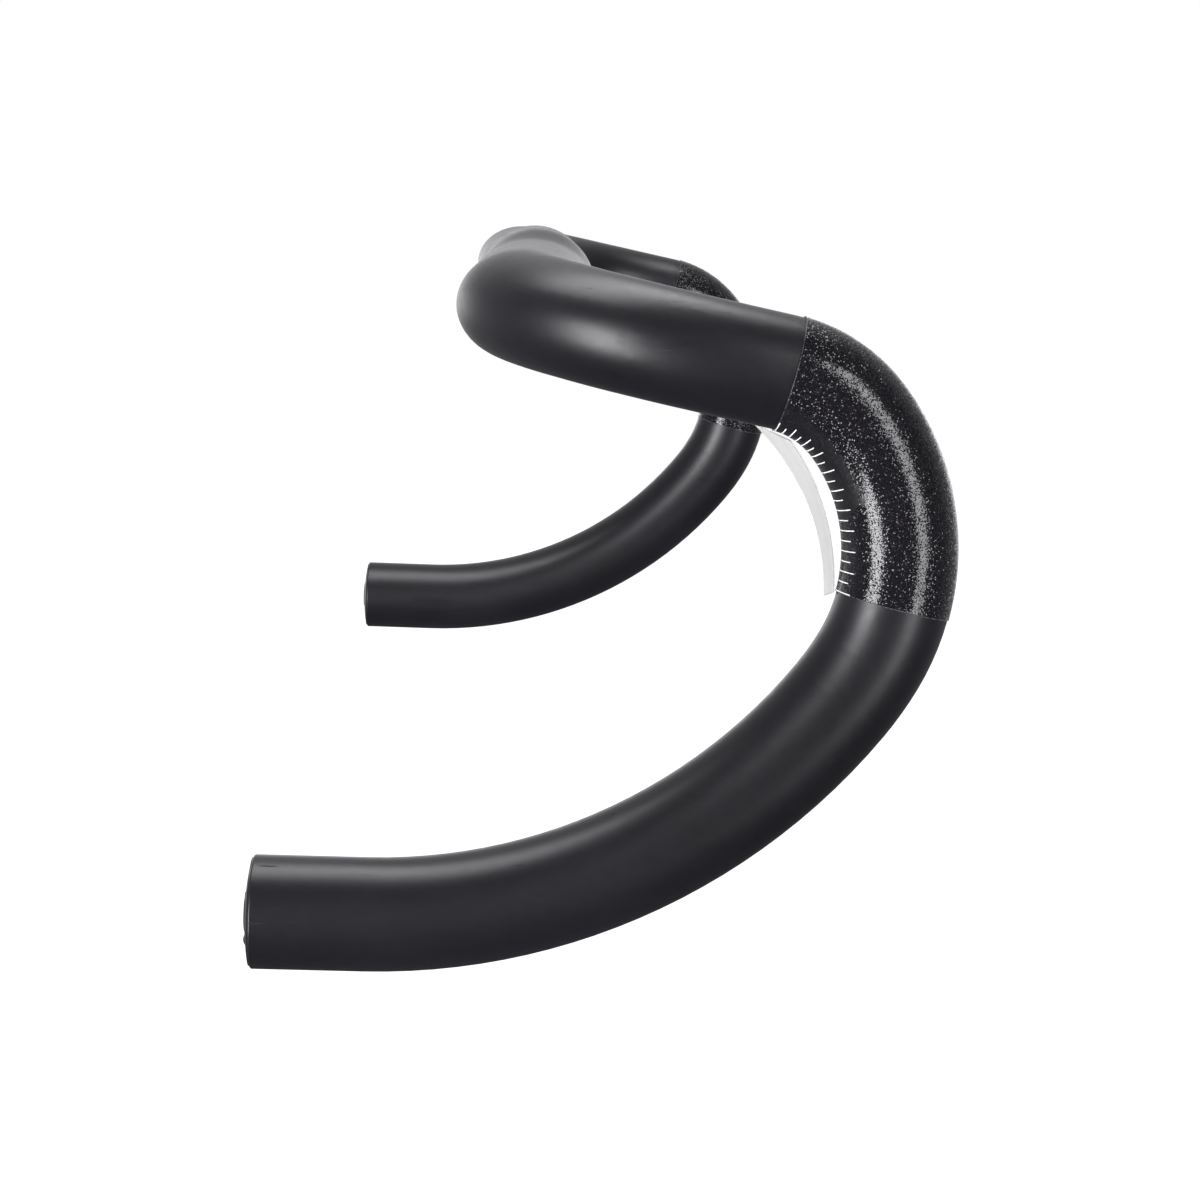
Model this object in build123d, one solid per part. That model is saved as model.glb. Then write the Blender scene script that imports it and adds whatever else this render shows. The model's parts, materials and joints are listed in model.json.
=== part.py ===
from build123d import *
from math import cos, radians, sin
import os

# Drop handlebar of moulded carbon fibre: a centre section and two drop mouldings
# bonded over internal sleeves, with grip coats, tick scales and expanding end plugs.
# +X is forward, +Y is to the rider's left and +Z is up. The origin is the centre of
# the stem clamp zone. Lengths are in millimetres and angles in degrees.

# overall layout
HALF_WIDTH = 200.0          # centre plane to the tube's centre at the lever clamps
CLAMP_RADIUS = 15.9         # round zone that the stem clamps
CLAMP_HALF_LENGTH = 30.0
GRIP_RADIUS = 11.9          # round tube of the hooks and drops
WALL = 2.4
END_ROUNDING = 0.5          # of the outer edge at the bar end

# tops: an oval tube, raised and set back a little from the clamp zone
TAPER_END = 56.0
LOFT_START = 24.0           # the clamp zone's last stretch is part of the lofted arm
ARM_SECTIONS = 16
TOPS_RISE = 2.4
TOPS_SETBACK = 1.5
TOPS_HALF_DEPTH = 15.2
TOPS_HALF_HEIGHT = 11.3
BEND_RISE = 1.5
BEND_SETBACK = 3.9
BEND_HALF_DEPTH = 14.8
BEND_HALF_HEIGHT = 12.2
JOINT_AT = 120.0            # where a drop moulding meets the centre section
OUTER_TOPS_SECTIONS = 4
JOINT_SLEEVE_LENGTH = 44.0
SLEEVE_WALL = 1.6
BOND_GAP = 0.12

# bend, ramp, hook and drop: (radius, turn) of each tangent arc
BEND_ARCS = [(42.0, 77.0), (68.0, 13.0)]
BEND_SECTIONS = 9
RAMP_SLOPE = 12.7
RAMP_LENGTH = 6.6
HOOK_ARCS = [(27.5, 42.0), (45.0, 66.0), (66.0, 9.0), (123.0, 52.5)]
END_STRAIGHT = 23.5
FLARE = 3.0

# lever grip coat and its scale, placed by turn along the first two hook arcs
COAT_THICKNESS = 0.25
COAT_START_TURN = 3.0
COAT_END_TURN = 50.0
CLAMP_COAT_THICKNESS = 0.15
CLAMP_COAT_HALF_LENGTH = 24.0
TICK_COUNT = 21
TICK_WIDTH = 0.22
TICK_HEIGHT = 0.08
INK_GAP = 0.01
LONG_TICK_ARC = 33.0
SHORT_TICK_ARC = 26.0
TICK_START_ARC = 0.0
CENTRE_TICK_PITCH = 3.0
CENTRE_TICKS = 7

# strip of protective film across the inside of the right hook
FILM_THICKNESS = 0.3
FILM_WIDTH = 20.0
FILM_BEND_RADIUS = 49.5
FILM_MIDDLE_EDGE = [(4.9, -13.3), (20.85, -42.1)]
FILM_INBOARD_EDGE = [(-0.9, -11.9), (22.2, -44.8)]

# expanding plug in each bar end
CAP_RADIUS = 11.3
CAP_RIM = 0.3
CAP_HEIGHT = 1.4
CAP_NUB_RADIUS = 1.9
CAP_NUB_SUNK = 0.5
CAP_NUB_AT = (4.2, -4.9)
CAP_SKIRT_LENGTH = 5.0
SCREW_RADIUS = 2.5
SCREW_HEAD_RADIUS = 4.2
SCREW_HEAD_LENGTH = 2.6
SCREW_LENGTH = 30.0
HEX_SOCKET = 3.0
HEX_DEPTH = 1.8
RUNNING_GAP = 0.06
EXPANDER_LENGTH = 13.0
EXPANDER_RADIUS = 9.2
NUT_LENGTH = 9.0
NUT_BACK_RADIUS = 8.8
NUT_FRONT_RADIUS = 5.6
NUT_TRAVEL = 2.4
NUT_CLEARANCE = 0.35

ACROSS = (Align.CENTER, Align.CENTER, Align.MIN)


def blend(t):
    """Smooth step from 0 to 1."""
    t = min(max(t, 0.0), 1.0)
    return t * t * (3.0 - 2.0 * t)


def between(low, high, t):
    return low + (high - low) * t


def bend_start():
    """Distance from the centre plane at which the bend starts."""
    reach = 0.0
    turned = 0.0
    for radius, turn in BEND_ARCS:
        reach += radius * (sin(radians(turned + turn)) - sin(radians(turned)))
        turned += turn
    return HALF_WIDTH - reach


def tops_section(y, inset=0.0):
    """Ellipse of the clamp zone and tops at the distance y to the right of centre."""
    taper = blend((y - CLAMP_HALF_LENGTH) / (TAPER_END - CLAMP_HALF_LENGTH))
    out = max(0.0, (y - TAPER_END) / (bend_start() - TAPER_END))
    depth = between(CLAMP_RADIUS, TOPS_HALF_DEPTH, taper) + out * (BEND_HALF_DEPTH - TOPS_HALF_DEPTH)
    height = between(CLAMP_RADIUS, TOPS_HALF_HEIGHT, taper) + out * (BEND_HALF_HEIGHT - TOPS_HALF_HEIGHT)
    back = TOPS_SETBACK * taper + out * (BEND_SETBACK - TOPS_SETBACK)
    rise = TOPS_RISE * taper + out * (BEND_RISE - TOPS_RISE)
    place = Plane(origin=(-back, -y, rise), x_dir=(1, 0, 0), z_dir=(0, -1, 0))
    return place * Ellipse(depth - inset, height - inset)


def arcs(start, heading, steps, side):
    """Tangent arcs, each carrying on from the one before."""
    edges = []
    for radius, turn in steps:
        edges.append(JernArc(start, heading, radius, side * turn))
        start = edges[-1] @ 1
        heading = edges[-1] % 1
    return edges


def bend_path():
    """Centreline of the bend and ramp, in the plane that holds the tops and the ramp."""
    edges = arcs((0, 0), (1, 0), BEND_ARCS, 1)
    edges.append(Line(edges[-1] @ 1, (edges[-1] @ 1) + (edges[-1] % 1) * RAMP_LENGTH))
    ramp = (cos(radians(RAMP_SLOPE)), 0, -sin(radians(RAMP_SLOPE)))
    tilted = Plane(
        origin=(-BEND_SETBACK, -bend_start(), BEND_RISE),
        x_dir=(0, -1, 0),
        z_dir=Vector(0, -1, 0).cross(Vector(ramp)),
    )
    return tilted * Wire(edges)


def bend_section(path, t, inset=0.0):
    """Ellipse across the bend at t, which is round by the end of the ramp."""
    heading = path % t
    depth = between(BEND_HALF_DEPTH, GRIP_RADIUS, blend(t))
    height = between(BEND_HALF_HEIGHT, GRIP_RADIUS, blend(t))
    place = Plane(origin=path @ t, x_dir=Vector(0, 0, 1).cross(heading), z_dir=heading)
    return place * Ellipse(depth - inset, height - inset)


def drop_plane():
    """Plane of the hook and drop: x runs down the ramp, y is up, z points outboard."""
    path = bend_path()
    ramp = path % 1
    outboard = Vector(
        sin(radians(RAMP_SLOPE)) * sin(radians(FLARE)),
        -cos(radians(FLARE)),
        cos(radians(RAMP_SLOPE)) * sin(radians(FLARE)),
    )
    return Plane(origin=path @ 1, x_dir=ramp, z_dir=outboard)


def drop_edges():
    """Centreline of the hook and drop in the drop plane's own coordinates."""
    edges = arcs((0, 0), (1, 0), HOOK_ARCS, -1)
    edges.append(Line(edges[-1] @ 1, (edges[-1] @ 1) + (edges[-1] % 1) * END_STRAIGHT))
    return edges


def coat_edges():
    """Stretch of the hook that the lever grip coat covers."""
    first, second = drop_edges()[:2]
    radius, turn = HOOK_ARCS[0]
    share = COAT_START_TURN / turn
    lead = JernArc(first @ share, first % share, radius, COAT_START_TURN - turn)
    return [lead, JernArc(second @ 0, second % 0, HOOK_ARCS[1][0], -COAT_END_TURN)]


def tube_along(path, outer, inner):
    """Round tube along a planar path of tangent arcs."""
    start = Plane(origin=path @ 0, z_dir=path % 0)
    return sweep(start * (Circle(outer) - Circle(inner)), path=path)


def centre_section():
    """Clamp zone, its tapers and the tops, as one hollow moulding."""
    whole = Rot(90, 0, 0) * Cylinder(CLAMP_RADIUS, 2 * LOFT_START)
    hollow = Rot(90, 0, 0) * Cylinder(CLAMP_RADIUS - WALL, 2 * LOFT_START)
    step = (JOINT_AT - LOFT_START) / ARM_SECTIONS
    places = [LOFT_START + step * i for i in range(ARM_SECTIONS + 1)]
    arm = loft([tops_section(y) for y in places])
    # the hollow runs a little past the joint, so that it leaves the end open
    places[-1] += 1.0
    arm_hollow = loft([tops_section(y, WALL) for y in places])
    whole = whole + arm + mirror(arm, about=Plane.XZ)
    return whole - (hollow + arm_hollow + mirror(arm_hollow, about=Plane.XZ)) - clamp_coat()


def lofted_bend(inset=0.0):
    """Outer tops, bend and ramp, running on past both of their ends."""
    path = bend_path()
    step = (bend_start() - JOINT_AT) / OUTER_TOPS_SECTIONS
    sections = [tops_section(JOINT_AT + step * i, inset) for i in range(-2, OUTER_TOPS_SECTIONS)]
    sections += [bend_section(path, i / BEND_SECTIONS, inset) for i in range(BEND_SECTIONS + 1)]
    ramp_end = sections[-1]
    sections += [Pos((path % 1) * (step * i)) * ramp_end for i in (1, 2)]
    return loft(sections)


def drop_moulding():
    """Outer tops, bend, ramp, hook and drop of the right side, hollow throughout."""
    path = bend_path()
    joint = Plane(origin=(0, -JOINT_AT, 0), z_dir=(0, -1, 0))
    ramp_end = Plane(origin=path @ 1, z_dir=path % 1)
    bend = split(lofted_bend(), bisect_by=joint, keep=Keep.TOP)
    bend = split(bend, bisect_by=ramp_end, keep=Keep.BOTTOM)
    drop = tube_along(drop_plane() * Wire(drop_edges()), GRIP_RADIUS, GRIP_RADIUS - WALL)
    rims = drop.edges().filter_by(GeomType.CIRCLE).sort_by(Axis.X)[:2]
    drop = fillet(rims.sort_by(Edge.length)[-1], END_ROUNDING)
    return (bend - lofted_bend(WALL)) + drop


def joint_sleeve():
    """Oval spigot bonded inside the seam between centre section and drop."""
    low = JOINT_AT - JOINT_SLEEVE_LENGTH / 2
    places = [low + JOINT_SLEEVE_LENGTH * i / 3 for i in range(4)]
    outer = loft([tops_section(y, WALL + BOND_GAP) for y in places])
    return outer - loft([tops_section(y, WALL + BOND_GAP + SLEEVE_WALL) for y in places])


def lever_grip_coat():
    """Gritty coat round the hook where the brake lever clamps."""
    path = drop_plane() * Wire(coat_edges())
    return tube_along(path, GRIP_RADIUS + COAT_THICKNESS, GRIP_RADIUS)


def ring_sector(radius, height, start, size):
    """Flat sector of a thin ring, for one printed line."""
    outer = CenterArc((0, 0), radius + height, start, size)
    inner = CenterArc((0, 0), radius, start, size)
    sides = [Line(outer @ 0, inner @ 0), Line(outer @ 1, inner @ 1)]
    return make_face([outer, inner] + sides)


def tick_scale():
    """Long and short lines in turn across the inside of the hook."""
    path = Wire(coat_edges())
    surface = GRIP_RADIUS + COAT_THICKNESS + INK_GAP
    margin = TICK_WIDTH / path.length
    ticks = []
    for i in range(TICK_COUNT):
        t = between(margin, 1.0 - margin, i / (TICK_COUNT - 1))
        size = (SHORT_TICK_ARC if i % 2 else LONG_TICK_ARC) - TICK_START_ARC
        # local x points outboard and local y to the outside of the hook
        place = Plane(origin=path @ t, x_dir=(0, 0, 1), z_dir=path % t)
        inside = -90.0 + TICK_START_ARC
        line = extrude(ring_sector(surface, TICK_HEIGHT, inside, size), TICK_WIDTH / 2, both=True)
        if (place.y_dir.dot(hook_outward(path, t))) < 0:
            line = Rot(180, 0, 0) * line
        ticks.append(drop_plane() * (place * line))
    return Compound(children=ticks)


def hook_outward(path, t):
    """Direction from the hook's inside to its outside, in the drop plane."""
    heading = path % t
    return Vector(-heading.Y, heading.X, 0)


def protective_strip():
    """Film that springs across the inside of the hook, from its middle plane inboard."""
    middle = RadiusArc(*FILM_MIDDLE_EDGE, FILM_BEND_RADIUS)
    inboard = Pos(0, 0, -FILM_WIDTH) * RadiusArc(*FILM_INBOARD_EDGE, FILM_BEND_RADIUS)
    sheet = Face.make_surface_from_curves(inboard, middle)
    return drop_plane() * thicken(sheet, FILM_THICKNESS)


def clamp_coat():
    """Fine friction coat on the round clamp zone."""
    outer = Cylinder(CLAMP_RADIUS, 2 * CLAMP_COAT_HALF_LENGTH)
    return Rot(90, 0, 0) * (outer - Cylinder(CLAMP_RADIUS - CLAMP_COAT_THICKNESS, 2 * CLAMP_COAT_HALF_LENGTH))


def end_plane():
    """Plane of the tube's cut end: z points out of the bar, x is outboard."""
    edge = drop_plane() * drop_edges()[-1]
    return Plane(origin=edge @ 1, x_dir=drop_plane().z_dir, z_dir=edge % 1)


def end_cap():
    """Domed cap with a skirt that presses into the tube."""
    crown = CAP_HEIGHT - CAP_RIM
    ball = (CAP_RADIUS**2 + crown**2) / (2 * crown)
    flange = Cylinder(CAP_RADIUS, CAP_HEIGHT, align=ACROSS) & (Pos(0, 0, CAP_HEIGHT - ball) * Sphere(ball))
    nub = Pos(*CAP_NUB_AT, -CAP_NUB_SUNK) * Sphere(CAP_NUB_RADIUS)
    nub = nub & Cylinder(CAP_RADIUS, 2 * CAP_HEIGHT, align=ACROSS)
    skirt = Pos(0, 0, -CAP_SKIRT_LENGTH) * Cylinder(GRIP_RADIUS - WALL, CAP_SKIRT_LENGTH, align=ACROSS)
    recess = Pos(0, 0, CAP_HEIGHT - SCREW_HEAD_LENGTH) * Cylinder(
        SCREW_HEAD_RADIUS + RUNNING_GAP, SCREW_HEAD_LENGTH, align=ACROSS
    )
    bore = Cylinder(SCREW_RADIUS + RUNNING_GAP, 40.0)
    return flange + nub + skirt - recess - bore


def expander_sleeve():
    """Rubber sleeve that the wedge nut spreads against the tube."""
    place = Pos(0, 0, -CAP_SKIRT_LENGTH - EXPANDER_LENGTH)
    sleeve = Cylinder(EXPANDER_RADIUS, EXPANDER_LENGTH, align=ACROSS)
    bore = Cylinder(SCREW_RADIUS + 3 * RUNNING_GAP, EXPANDER_LENGTH, align=ACROSS)
    return place * (sleeve - bore) - Pos(0, 0, NUT_TRAVEL) * wedge_nut_cone(NUT_CLEARANCE)


def wedge_nut_cone(grow=0.0):
    """Solid cone of the wedge nut in its rest place, widened by grow."""
    # the nut's nose stands halfway into the mouth of the sleeve
    foot = -CAP_SKIRT_LENGTH - EXPANDER_LENGTH - NUT_LENGTH * 0.6 - NUT_TRAVEL
    cone = Cone(NUT_BACK_RADIUS + grow, NUT_FRONT_RADIUS + grow, NUT_LENGTH, align=ACROSS)
    return Pos(0, 0, foot + grow) * cone


def wedge_nut():
    """Threaded cone that the screw draws into the expander sleeve."""
    return wedge_nut_cone() - Cylinder(SCREW_RADIUS + RUNNING_GAP, 100.0)


def expander_screw():
    """Socket screw through the cap, sleeve and wedge nut."""
    seat = CAP_HEIGHT - SCREW_HEAD_LENGTH
    head = Pos(0, 0, seat + RUNNING_GAP) * Cylinder(SCREW_HEAD_RADIUS, SCREW_HEAD_LENGTH, align=ACROSS)
    shank = Pos(0, 0, seat - SCREW_LENGTH) * Cylinder(SCREW_RADIUS, SCREW_LENGTH + 1.0, align=ACROSS)
    socket = Pos(0, 0, CAP_HEIGHT - HEX_DEPTH) * extrude(
        RegularPolygon(HEX_SOCKET / 2, 6, major_radius=False), HEX_DEPTH + 1.0
    )
    return head + shank - socket


def centre_ticks():
    """Alignment lines across the front of the clamp zone, either side of its middle."""
    line = extrude(ring_sector(CLAMP_RADIUS, TICK_HEIGHT, -35.0, 70.0), TICK_WIDTH / 2, both=True)
    ticks = []
    for i in range(CENTRE_TICKS):
        y = CENTRE_TICK_PITCH * (i - (CENTRE_TICKS - 1) / 2)
        ticks.append(Pos(0, y, 0) * (Rot(90, 0, 0) * line))
    return Compound(children=ticks)


SIDED = {
    "drop": drop_moulding,
    "joint_sleeve": joint_sleeve,
    "lever_grip_coat": lever_grip_coat,
    "tick_scale": tick_scale,
    "end_cap": lambda: end_plane() * end_cap(),
    "expander_sleeve": lambda: end_plane() * expander_sleeve(),
    "wedge_nut": lambda: end_plane() * wedge_nut(),
    "expander_screw": lambda: end_plane() * expander_screw(),
}

os.makedirs("parts", exist_ok=True)
export_step(centre_section(), "parts/centre_section.step")
export_step(clamp_coat(), "parts/stem_clamp_coat.step")
export_step(centre_ticks(), "parts/stem_centre_ticks.step")
export_step(protective_strip(), "parts/right_protective_strip.step")
for name, make in SIDED.items():
    right = make()
    export_step(right, f"parts/right_{name}.step")
    export_step(mirror(right, about=Plane.XZ), f"parts/left_{name}.step")
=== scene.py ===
import json
import math

import bpy
from mathutils import Euler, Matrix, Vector


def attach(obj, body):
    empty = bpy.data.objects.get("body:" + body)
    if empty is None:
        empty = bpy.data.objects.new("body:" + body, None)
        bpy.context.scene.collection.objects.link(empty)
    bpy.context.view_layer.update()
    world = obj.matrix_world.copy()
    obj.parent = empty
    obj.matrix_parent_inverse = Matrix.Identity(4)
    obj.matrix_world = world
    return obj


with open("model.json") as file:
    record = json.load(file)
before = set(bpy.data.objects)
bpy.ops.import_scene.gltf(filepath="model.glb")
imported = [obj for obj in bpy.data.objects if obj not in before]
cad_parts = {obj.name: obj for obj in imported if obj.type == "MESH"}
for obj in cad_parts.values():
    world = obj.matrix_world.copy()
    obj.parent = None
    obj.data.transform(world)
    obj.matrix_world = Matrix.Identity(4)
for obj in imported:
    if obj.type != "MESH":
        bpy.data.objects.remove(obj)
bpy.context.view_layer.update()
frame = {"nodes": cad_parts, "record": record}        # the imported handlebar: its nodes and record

MM = 0.001

# hook of the bar, in metres
HOOK_CENTRE_X = 0.02890               # centre of the hook's long curve, seen from the side
HOOK_CENTRE_Z = -0.04736
SCALE_BAND_RADIUS = 0.0380            # the smooth band that carries the scale ends this far out
BAND_CLOSES_AT = -0.036               # heights between which the grit closes in on the scale
BAND_CLOSED_AT = -0.046
BAND_CLOSING = 0.008

# lips of lacquer at the ends of the grip coats: place and direction on the left side
COAT_RADIUS = 0.01212
RIDGE_RADIUS = 0.00012
RIDGE_UNEVENNESS = 0.00012
COAT_ENDS = {
    "upper": ((0.05061, 0.20000, -0.01082), (0.9627, 0.0027, -0.2705)),
    "lower": ((0.07243, 0.20220, -0.05877), (-0.2535, 0.0523, -0.9659)),
}

# studio, in metres; the bar is shown held up by its clamp, well above the floor
FLOOR_DROP = 0.9
FLOOR_SIZE = 14.0
LIGHT_TINT = (0.975, 0.965, 1.0)      # cool studio tubes
# each softbox: azimuth and elevation in degrees, distance, width, height, and brightness
SOFTBOXES = {
    "front_left": (-135.5, -3.0, 1.8, 0.66, 1.3, 15.5),
    "front_right": (-54.5, 8.0, 1.8, 0.5, 1.7, 8.0),
    "overhead": (124.0, 82.0, 0.75, 0.8, 0.45, 5.6),
}
ROOM_FRONT = 0.1                      # brightness of the room round the bar
ROOM_BACK = 0.4
ROOM_BELOW = 0.2                      # share of it that comes from under the bar
WALL_GLOW = 1.8                       # lit backdrop, brightest at the bar's own height
WALL_ABOVE = 0.15

CAMERA_PLACE = (-0.005024, -0.716058, 0.027131)
CAMERA_PITCH = 0.163033
CAMERA_YAW = 0.032324
LENS_MM = 75.393
SENSOR_MM = 36.0
CLIP_START = 0.02


# ---------------------------------------------------------------- node helpers

def srgb(code):
    """Linear colour of an sRGB hex value such as '2a2b2d'."""
    def linear(c):
        return c / 12.92 if c <= 0.04045 else ((c + 0.055) / 1.055) ** 2.4
    red, green, blue = [linear(int(code[i:i + 2], 16) / 255) for i in (0, 2, 4)]
    return (red, green, blue, 1.0)


def grey(value):
    """Linear grey of one number."""
    return (value, value, value, 1.0)


def per_mm(size):
    """Scale of a texture on Object coordinates whose cells are size millimetres across."""
    return 1.0 / (size * MM)


def join(tree, node, **links):
    """Links a node's inputs to other nodes or sockets, or sets them. An input is given by
    name, with _ for a space, or as i0, i1 and so on. A node stands for its first output."""
    for key, value in links.items():
        name = int(key[1:]) if key[1:].isdigit() else key.replace("_", " ")
        if isinstance(value, bpy.types.Node):
            value = next(socket for socket in value.outputs if socket.enabled)
        if isinstance(value, bpy.types.NodeSocket):
            tree.links.new(value, node.inputs[name])
        else:
            node.inputs[name].default_value = value


def add(tree, kind, settings=None, **links):
    """Adds one node, with its settings, its links, and the stops of a colour ramp."""
    node = tree.nodes.new(kind)
    for key, value in (settings or {}).items():
        if key == "stops":
            elements = node.color_ramp.elements
            while len(elements) < len(value):
                elements.new(0.5)
            for element, (place, colour) in zip(elements, value):
                element.position = place
                element.color = colour
        else:
            setattr(node, key, value)
    join(tree, node, **links)
    return node


def new_material(name, **constants):
    """Material with a Principled shader whose fixed numbers are set on its own sockets."""
    made = bpy.data.materials.new(name)
    made.use_nodes = True
    tree = made.node_tree
    shader = tree.nodes["Principled BSDF"]
    join(tree, shader, **constants)
    place = add(tree, "ShaderNodeTexCoord").outputs["Object"]
    return made, tree, shader, place


def wear(tree, place, size, low, high, detail=4.0):
    """Soft cloudy patches, from 0 to 1, size millimetres across."""
    noise = add(tree, "ShaderNodeTexNoise", Vector=place, Scale=per_mm(size), Detail=detail)
    return add(tree, "ShaderNodeValToRGB", {"stops": [(low, grey(0.0)), (high, grey(1.0))]}, Fac=noise)


# ---------------------------------------------------------------- materials

def satin_lacquer_on_carbon():
    """Moulded carbon fibre under black satin lacquer, sprayed: a soft, even sheen with the
    faint orange peel of spray, a few rubbed patches and hairline scuffs from handling."""
    made, tree, shader, place = new_material("satin_lacquer_on_carbon", IOR=1.5)
    cloud = wear(tree, place, 38.0, 0.35, 0.7)
    blacks = [(0.0, srgb("0f0e12")), (1.0, srgb("151419"))]
    base = add(tree, "ShaderNodeValToRGB", {"stops": blacks}, Fac=cloud)
    # rubbed marks: thin, long patches that are a touch smoother
    along = add(tree, "ShaderNodeMapping", Vector=place, Scale=(0.35, 1.0, 1.6))
    rub = wear(tree, along, 9.0, 0.6, 0.74, detail=6.0)
    # hairline scuffs: sparse dull lines, a few millimetres long
    lines = add(tree, "ShaderNodeMapping", Vector=place, Rotation=(0.0, 0.35, 0.0), Scale=(0.22, 1.0, 2.6))
    scuff = wear(tree, lines, 2.4, 0.7, 0.76, detail=3.0)
    scuff_share = add(tree, "ShaderNodeMapRange", Value=scuff, To_Min=0.0, To_Max=0.55)
    shade = add(tree, "ShaderNodeMix", {"data_type": "RGBA"}, Factor=scuff_share, A=base, B=srgb("08080a"))
    grain = add(tree, "ShaderNodeTexNoise", Vector=place, Scale=per_mm(2.2), Detail=3.0)
    satin = add(tree, "ShaderNodeMapRange", Value=grain, To_Min=0.34, To_Max=0.42)
    dulled = add(tree, "ShaderNodeMapRange", Value=scuff, To_Min=0.0, To_Max=0.3)
    polished = add(tree, "ShaderNodeMapRange", Value=rub, To_Min=0.0, To_Max=-0.06)
    handled = add(tree, "ShaderNodeMath", {"operation": "ADD"}, i0=satin, i1=dulled)
    rough = add(tree, "ShaderNodeMath", {"operation": "ADD"}, i0=handled, i1=polished)
    peel = add(tree, "ShaderNodeTexNoise", Vector=place, Scale=per_mm(0.7), Detail=2.0)
    relief = add(tree, "ShaderNodeBump", Height=peel, Distance=0.008 * MM)
    join(tree, shader, Base_Color=shade, Roughness=rough, Normal=relief)
    return made


def scale_band(tree, place):
    """0 on the smooth band that carries the scale, on the inside of the hook, and 1 on the
    rest of the coat. The band lies within a cylinder round the centre of the hook's curve, and
    closes lower down, where the grit runs up to the scale."""
    flat = add(tree, "ShaderNodeMapping", Vector=place, Location=(-HOOK_CENTRE_X, 0.0, -HOOK_CENTRE_Z),
               Scale=(1.0, 0.0, 1.0))
    away = add(tree, "ShaderNodeVectorMath", {"operation": "LENGTH"}, i0=flat)
    ragged = add(tree, "ShaderNodeTexNoise", Vector=place, Scale=per_mm(1.5), Detail=3.0)
    frayed = add(tree, "ShaderNodeMath", {"operation": "MULTIPLY_ADD"}, i0=ragged, i1=3.0 * MM, i2=away)
    height = add(tree, "ShaderNodeSeparateXYZ", Vector=place).outputs["Z"]
    closing = add(tree, "ShaderNodeMapRange", Value=height, From_Min=BAND_CLOSES_AT, From_Max=BAND_CLOSED_AT,
                  To_Min=0.0, To_Max=BAND_CLOSING)
    reach = add(tree, "ShaderNodeMath", {"operation": "ADD"}, i0=frayed, i1=closing)
    return add(tree, "ShaderNodeMapRange", {"interpolation_type": "SMOOTHSTEP"}, Value=reach,
               From_Min=SCALE_BAND_RADIUS, From_Max=SCALE_BAND_RADIUS + 2.0 * MM)


def tipped_grains(tree, grains, share):
    """Normal of a bed of grains that each tip their own way: most a little, a few by a lot."""
    parts = add(tree, "ShaderNodeSeparateColor", Color=grains)
    some = add(tree, "ShaderNodeMath", {"operation": "POWER"}, i0=parts.outputs["Blue"], i1=4.0)
    tip = add(tree, "ShaderNodeMapRange", Value=some, To_Min=0.05, To_Max=1.5)
    shared = add(tree, "ShaderNodeMath", {"operation": "MULTIPLY"}, i0=tip, i1=share)
    spread = add(tree, "ShaderNodeVectorMath", {"operation": "SUBTRACT"}, i0=grains, i1=(0.5, 0.5, 0.5))
    lean = add(tree, "ShaderNodeVectorMath", {"operation": "SCALE"}, i0=spread, Scale=shared)
    straight = add(tree, "ShaderNodeNewGeometry").outputs["Normal"]
    leant = add(tree, "ShaderNodeVectorMath", {"operation": "ADD"}, i0=straight, i1=lean)
    return add(tree, "ShaderNodeVectorMath", {"operation": "NORMALIZE"}, i0=leant)


def grit_in_gloss_lacquer():
    """Coarse grit set in gloss lacquer, sprayed on masked tube: wet black grains a fifth of
    a millimetre across, each with its own glint, so a highlight breaks up into sparks. The
    band that carries the scale was masked off and is only lacquered."""
    made, tree, shader, place = new_material("grit_in_gloss_lacquer", IOR=1.5)
    gritty = scale_band(tree, place)
    warp = add(tree, "ShaderNodeTexNoise", Vector=place, Scale=per_mm(0.9), Detail=2.0)
    bent = add(tree, "ShaderNodeVectorMath", {"operation": "MULTIPLY_ADD"}, i0=warp.outputs["Color"],
               i1=(0.3 * MM, 0.3 * MM, 0.3 * MM), i2=place)
    grains = add(tree, "ShaderNodeTexVoronoi", Vector=bent, Scale=per_mm(0.21)).outputs["Color"]
    facing = tipped_grains(tree, grains, gritty)
    fine = add(tree, "ShaderNodeTexNoise", Vector=place, Scale=per_mm(0.5), Detail=3.0, Roughness=0.6)
    height = add(tree, "ShaderNodeMath", {"operation": "MULTIPLY"}, i0=fine, i1=gritty)
    relief = add(tree, "ShaderNodeBump", Height=height, Distance=0.02 * MM, Normal=facing)
    parts = add(tree, "ShaderNodeSeparateColor", Color=grains)
    blacks = [(0.0, srgb("0b0b0d")), (0.9, srgb("161519")), (1.0, srgb("2c2b30"))]
    colour = add(tree, "ShaderNodeValToRGB", {"stops": blacks}, Fac=parts.outputs["Red"])
    wet = add(tree, "ShaderNodeMapRange", Value=parts.outputs["Green"], To_Min=0.05, To_Max=0.16)
    gloss = add(tree, "ShaderNodeMix", {"data_type": "FLOAT"}, Factor=gritty, A=0.36, B=wet)
    join(tree, shader, Base_Color=colour, Roughness=gloss, Normal=relief)
    return made


def fine_clamp_grit():
    """Fine friction grit under matt lacquer on the stem's clamp zone, printed: dull, grey and
    slightly sandy, with the round rub left by a clamp."""
    made, tree, shader, place = new_material("fine_clamp_grit", IOR=1.5)
    sand = add(tree, "ShaderNodeTexNoise", Vector=place, Scale=per_mm(0.35), Detail=3.0)
    greys = [(0.3, srgb("444443")), (0.55, srgb("6c6b69")), (0.75, srgb("a2a19c"))]
    colour = add(tree, "ShaderNodeValToRGB", {"stops": greys}, Fac=sand)
    rub = wear(tree, place, 12.0, 0.4, 0.65)
    rough = add(tree, "ShaderNodeMapRange", Value=rub, To_Min=0.42, To_Max=0.56)
    relief = add(tree, "ShaderNodeBump", Height=sand, Distance=0.05 * MM)
    join(tree, shader, Base_Color=colour, Roughness=rough, Normal=relief)
    return made


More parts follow.
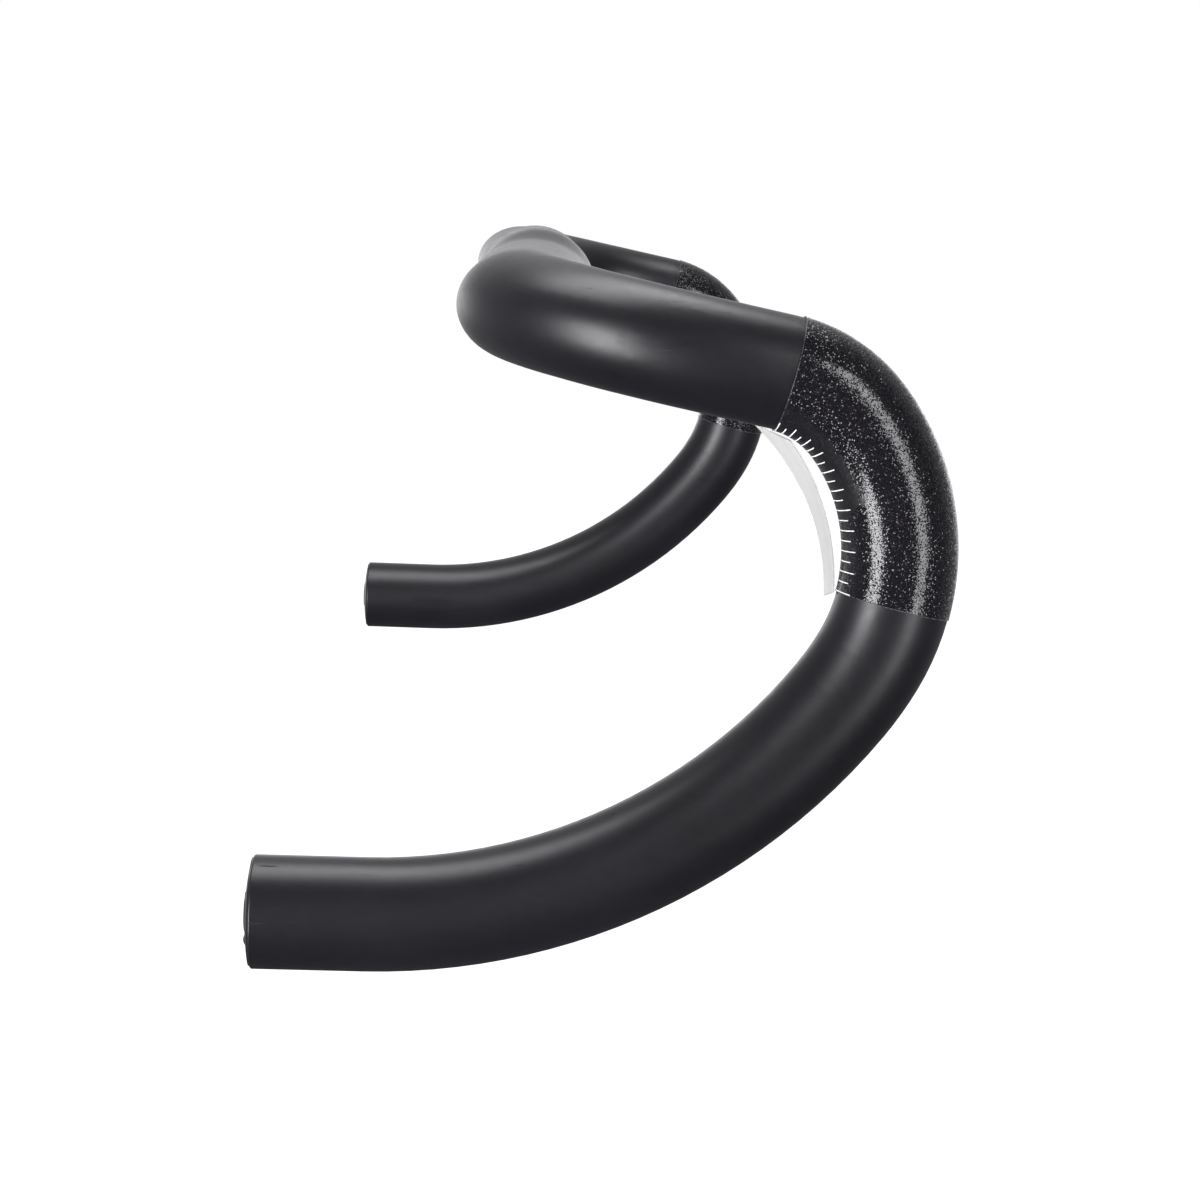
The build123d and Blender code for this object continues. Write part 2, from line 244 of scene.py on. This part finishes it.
def white_screen_ink():
    """White screen ink over the grit, printed: opaque and chalky, thinner where it crosses
    the tops of the grains."""
    made, tree, shader, place = new_material("white_screen_ink", IOR=1.5, Roughness=0.45)
    worn = wear(tree, place, 0.5, 0.3, 0.62)
    whites = [(0.0, srgb("b9babb")), (1.0, srgb("e6e6e5"))]
    colour = add(tree, "ShaderNodeValToRGB", {"stops": whites}, Fac=worn)
    relief = add(tree, "ShaderNodeBump", Height=worn, Distance=0.01 * MM)
    join(tree, shader, Base_Color=colour, Normal=relief)
    return made


def frosted_film():
    """Soft clear polyethylene film, frosted and stretched: milky, with streaks drawn along
    it where it was pulled round the bend."""
    made, tree, shader, place = new_material("frosted_film", IOR=1.45, Transmission_Weight=0.3)
    side = add(tree, "ShaderNodeSeparateXYZ", Vector=place).outputs["Y"]
    across = add(tree, "ShaderNodeCombineXYZ", X=side)
    streaks = add(tree, "ShaderNodeTexNoise", Vector=across, Scale=per_mm(2.4), Detail=5.0, Roughness=0.65)
    whites = [(0.32, srgb("bcbcba")), (0.5, srgb("cfcfcd")), (0.72, srgb("e2e2e0"))]
    milk = add(tree, "ShaderNodeValToRGB", {"stops": whites}, Fac=streaks)
    rough = add(tree, "ShaderNodeMapRange", Value=streaks, To_Min=0.25, To_Max=0.5)
    relief = add(tree, "ShaderNodeBump", Height=streaks, Distance=0.05 * MM)
    join(tree, shader, Base_Color=milk, Roughness=rough, Normal=relief)
    return made


def moulded_black_plastic():
    """Black nylon, injection moulded: fine spark-eroded grain with a dull gloss."""
    made, tree, shader, place = new_material("moulded_black_plastic", IOR=1.5)
    grain = add(tree, "ShaderNodeTexNoise", Vector=place, Scale=per_mm(0.45), Detail=3.0)
    blacks = [(0.3, srgb("1b1c1d")), (0.7, srgb("28292b"))]
    colour = add(tree, "ShaderNodeValToRGB", {"stops": blacks}, Fac=grain)
    touched = wear(tree, place, 4.0, 0.35, 0.65)
    rough = add(tree, "ShaderNodeMapRange", Value=touched, To_Min=0.3, To_Max=0.45)
    relief = add(tree, "ShaderNodeBump", Height=grain, Distance=0.02 * MM)
    join(tree, shader, Base_Color=colour, Roughness=rough, Normal=relief)
    return made


def moulded_rubber():
    """Black natural rubber, moulded: deep matt with a grey bloom."""
    made, tree, shader, place = new_material("moulded_rubber", IOR=1.52)
    bloom = wear(tree, place, 3.0, 0.4, 0.75)
    blacks = [(0.0, srgb("19191a")), (1.0, srgb("333334"))]
    colour = add(tree, "ShaderNodeValToRGB", {"stops": blacks}, Fac=bloom)
    rough = add(tree, "ShaderNodeMapRange", Value=bloom, To_Min=0.62, To_Max=0.8)
    relief = add(tree, "ShaderNodeBump", Height=bloom, Distance=0.03 * MM)
    join(tree, shader, Base_Color=colour, Roughness=rough, Normal=relief)
    return made


def turned_aluminium():
    """Aluminium nut, turned on a lathe: bright, with fine tool rings round its axis."""
    made, tree, shader, place = new_material("turned_aluminium", Metallic=1.0)
    # a wave texture repeats every tau / 20 of its scale
    rings = add(tree, "ShaderNodeTexWave", {"wave_type": "BANDS", "bands_direction": "X"}, Vector=place,
                Scale=per_mm(0.4) * math.tau / 20.0, Distortion=0.6, Detail=2.0)
    silvers = [(0.0, srgb("b9bbbd")), (1.0, srgb("dcddde"))]
    colour = add(tree, "ShaderNodeValToRGB", {"stops": silvers}, Fac=rings.outputs["Fac"])
    rough = add(tree, "ShaderNodeMapRange", Value=rings.outputs["Fac"], To_Min=0.26, To_Max=0.4)
    relief = add(tree, "ShaderNodeBump", Height=rings.outputs["Fac"], Distance=0.01 * MM)
    join(tree, shader, Base_Color=colour, Roughness=rough, Normal=relief)
    return made


def black_oxide_steel():
    """Steel socket screw, cold headed and blackened: dark, oily metal, paler where a key
    has rubbed it."""
    made, tree, shader, place = new_material("black_oxide_steel", Metallic=1.0)
    rub = wear(tree, place, 1.6, 0.45, 0.7)
    greys = [(0.0, srgb("3a3a3c")), (1.0, srgb("77787a"))]
    colour = add(tree, "ShaderNodeValToRGB", {"stops": greys}, Fac=rub)
    rough = add(tree, "ShaderNodeMapRange", Value=rub, To_Min=0.34, To_Max=0.22)
    relief = add(tree, "ShaderNodeBump", Height=rub, Distance=0.008 * MM)
    join(tree, shader, Base_Color=colour, Roughness=rough, Normal=relief)
    return made


def sanded_laminate():
    """Bare carbon laminate, sanded for bonding: grey-black with fine scratches along it."""
    made, tree, shader, place = new_material("sanded_laminate", IOR=1.5)
    lengthwise = add(tree, "ShaderNodeMapping", Vector=place, Scale=(1.0, 0.08, 1.0))
    scratches = add(tree, "ShaderNodeTexNoise", Vector=lengthwise, Scale=per_mm(0.5), Detail=4.0)
    greys = [(0.3, srgb("2a2a2b")), (0.75, srgb("444446"))]
    colour = add(tree, "ShaderNodeValToRGB", {"stops": greys}, Fac=scratches)
    rough = add(tree, "ShaderNodeMapRange", Value=scratches, To_Min=0.5, To_Max=0.65)
    relief = add(tree, "ShaderNodeBump", Height=scratches, Distance=0.02 * MM)
    join(tree, shader, Base_Color=colour, Roughness=rough, Normal=relief)
    return made


def lacquer_edge_painted_highlight():
    """Gloss lacquer drawn up against masking tape: a smooth thick edge with small nicks. Its
    base colour is a painted highlight: grey, paler than the black coat, in place of its shine."""
    made, tree, shader, place = new_material("lacquer_edge_painted_highlight", IOR=1.5)
    nicks = wear(tree, place, 0.8, 0.35, 0.6)
    # painted highlight: grey base colours, paler than the black coat, stand in for the shine on the lip
    greys = [(0.0, srgb("242326")), (1.0, srgb("474649"))]
    colour = add(tree, "ShaderNodeValToRGB", {"stops": greys}, Fac=nicks)
    rough = add(tree, "ShaderNodeMapRange", Value=nicks, To_Min=0.2, To_Max=0.35)
    relief = add(tree, "ShaderNodeBump", Height=nicks, Distance=0.02 * MM)
    join(tree, shader, Base_Color=colour, Roughness=rough, Normal=relief)
    return made


def seamless_paper():
    """White seamless paper, matt, lit from below so that it stays pale: faint wide clouding."""
    made, tree, shader, place = new_material("seamless_paper", Roughness=0.9, Emission_Strength=0.9,
                                             Emission_Color=grey(1.0))
    tone = wear(tree, place, 400.0, 0.3, 0.7)
    whites = [(0.0, srgb("f4f4f4")), (1.0, srgb("f8f8f8"))]
    colour = add(tree, "ShaderNodeValToRGB", {"stops": whites}, Fac=tone)
    join(tree, shader, Base_Color=colour)
    return made


FINISHES = {
    "carbon_lacquer": satin_lacquer_on_carbon(),
    "lever_grip_coat": grit_in_gloss_lacquer(),
    "clamp_friction_coat": fine_clamp_grit(),
    "white_ink": white_screen_ink(),
    "frosted_film": frosted_film(),
    "bonded_sleeve": sanded_laminate(),
    "cap_plastic": moulded_black_plastic(),
    "expander_rubber": moulded_rubber(),
    "nut_aluminium": turned_aluminium(),
    "screw_steel": black_oxide_steel(),
}

for row in frame["record"]["subparts"]:
    mesh = frame["nodes"][row["node"]].data
    mesh.materials.clear()
    mesh.materials.append(FINISHES[row["material_slot"]])


# ---------------------------------------------------------------- masking ridges

def coat_ridge(side, end, lacquer):
    """Thin raised lip of lacquer that the masking tape left round one end of a grip coat."""
    (x, y, z), (dx, dy, dz) = COAT_ENDS[end]
    turn = -1.0 if side == "right" else 1.0
    axis = Vector((dx, turn * dy, dz))
    bpy.ops.object.select_all(action="DESELECT")
    bpy.ops.mesh.primitive_torus_add(major_segments=160, minor_segments=8, major_radius=COAT_RADIUS,
                                     minor_radius=RIDGE_RADIUS, location=(x, turn * y, z),
                                     rotation=axis.to_track_quat("Z", "Y").to_euler())
    ridge = bpy.context.object
    ridge.name = f"{side}_coat_ridge_{end}"
    bpy.ops.object.transform_apply(location=True, rotation=True, scale=True)
    uneven = bpy.data.textures.new(ridge.name, "CLOUDS")
    uneven.noise_scale = 1.5 * MM
    lip = ridge.modifiers.new("uneven lip", "DISPLACE")
    lip.texture = uneven
    lip.texture_coords = "OBJECT"
    lip.strength = RIDGE_UNEVENNESS
    bpy.ops.object.modifier_apply(modifier=lip.name)
    bpy.ops.object.shade_smooth()
    # the lip's material carries a painted highlight in its grey base colour
    ridge.data.materials.append(lacquer)
    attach(ridge, "bar")


# lacquer for the lips, with a painted highlight in its grey base colour
lip_lacquer_painted_highlight = lacquer_edge_painted_highlight()
for side in ("right", "left"):
    for end in COAT_ENDS:
        coat_ridge(side, end, lip_lacquer_painted_highlight)


# ---------------------------------------------------------------- studio

def paper_floor():
    """Pale seamless paper: a floor only, large enough to fill every view."""
    bpy.ops.object.select_all(action="DESELECT")
    bpy.ops.mesh.primitive_plane_add(size=FLOOR_SIZE, location=(0, 0, -FLOOR_DROP))
    floor = bpy.context.object
    floor.name = "paper_floor"
    floor.data.materials.append(seamless_paper())
    floor.visible_glossy = False


def softbox(name, azimuth, elevation, distance, width, height, brightness):
    """Square soft light that faces the clamp, placed by direction."""
    a, e = math.radians(azimuth), math.radians(elevation)
    toward = Vector((math.cos(a) * math.cos(e), math.sin(a) * math.cos(e), math.sin(e)))
    light = bpy.data.lights.new(name, "AREA")
    light.shape = "RECTANGLE"
    light.size = width
    light.size_y = height
    light.energy = brightness * math.pi * width * height
    light.color = LIGHT_TINT
    lamp = bpy.data.objects.new(name, light)
    lamp.location = toward * distance
    lamp.rotation_euler = toward.to_track_quat("Z", "Y").to_euler()
    lamp.visible_camera = False
    bpy.context.scene.collection.objects.link(lamp)


def studio_world():
    """Dim in front and below, bright behind and above, and white where the camera sees it."""
    world = bpy.data.worlds.new("studio")
    bpy.context.scene.world = world
    world.use_nodes = True
    tree = world.node_tree
    tree.nodes.clear()
    direction = add(tree, "ShaderNodeTexCoord").outputs["Generated"]
    axes = add(tree, "ShaderNodeSeparateXYZ", Vector=direction)

    def rise(axis, start, end, low, high):
        return add(tree, "ShaderNodeMapRange", {"interpolation_type": "SMOOTHSTEP"}, Value=axes.outputs[axis],
                   From_Min=start, From_Max=end, To_Min=low, To_Max=high)

    room = add(tree, "ShaderNodeMath", {"operation": "MULTIPLY"},
               i0=rise("Y", -0.2, 0.6, ROOM_FRONT, ROOM_BACK), i1=rise("Z", -0.7, 0.0, ROOM_BELOW, 1.0))
    band = add(tree, "ShaderNodeMath", {"operation": "MULTIPLY"},
               i0=rise("Z", -0.25, 0.02, 0.0, 1.0), i1=rise("Z", 0.04, 0.26, 1.0, WALL_ABOVE))
    wall = add(tree, "ShaderNodeMath", {"operation": "MULTIPLY"},
               i0=rise("Y", 0.6, 0.95, 0.0, WALL_GLOW), i1=band)
    strength = add(tree, "ShaderNodeMath", {"operation": "ADD"}, i0=room, i1=wall)
    dim = add(tree, "ShaderNodeBackground", Color=LIGHT_TINT + (1.0,), Strength=strength)
    white = add(tree, "ShaderNodeBackground", Color=grey(1.0), Strength=1.0)
    seen = add(tree, "ShaderNodeLightPath").outputs["Is Camera Ray"]
    both = add(tree, "ShaderNodeMixShader", i0=seen, i1=dim, i2=white)
    add(tree, "ShaderNodeOutputWorld", Surface=both)


paper_floor()
studio_world()
for name, measures in SOFTBOXES.items():
    softbox(name, *measures)


# ---------------------------------------------------------------- camera

lens = bpy.data.cameras.new("camera")
lens.lens = LENS_MM
lens.sensor_width = SENSOR_MM
lens.clip_start = CLIP_START
camera = bpy.data.objects.new("camera", lens)
camera.location = CAMERA_PLACE
camera.rotation_euler = Euler((math.pi / 2 - CAMERA_PITCH, 0.0, -CAMERA_YAW))
bpy.context.scene.collection.objects.link(camera)
bpy.context.scene.camera = camera
bpy.context.scene.view_settings.view_transform = "Standard"
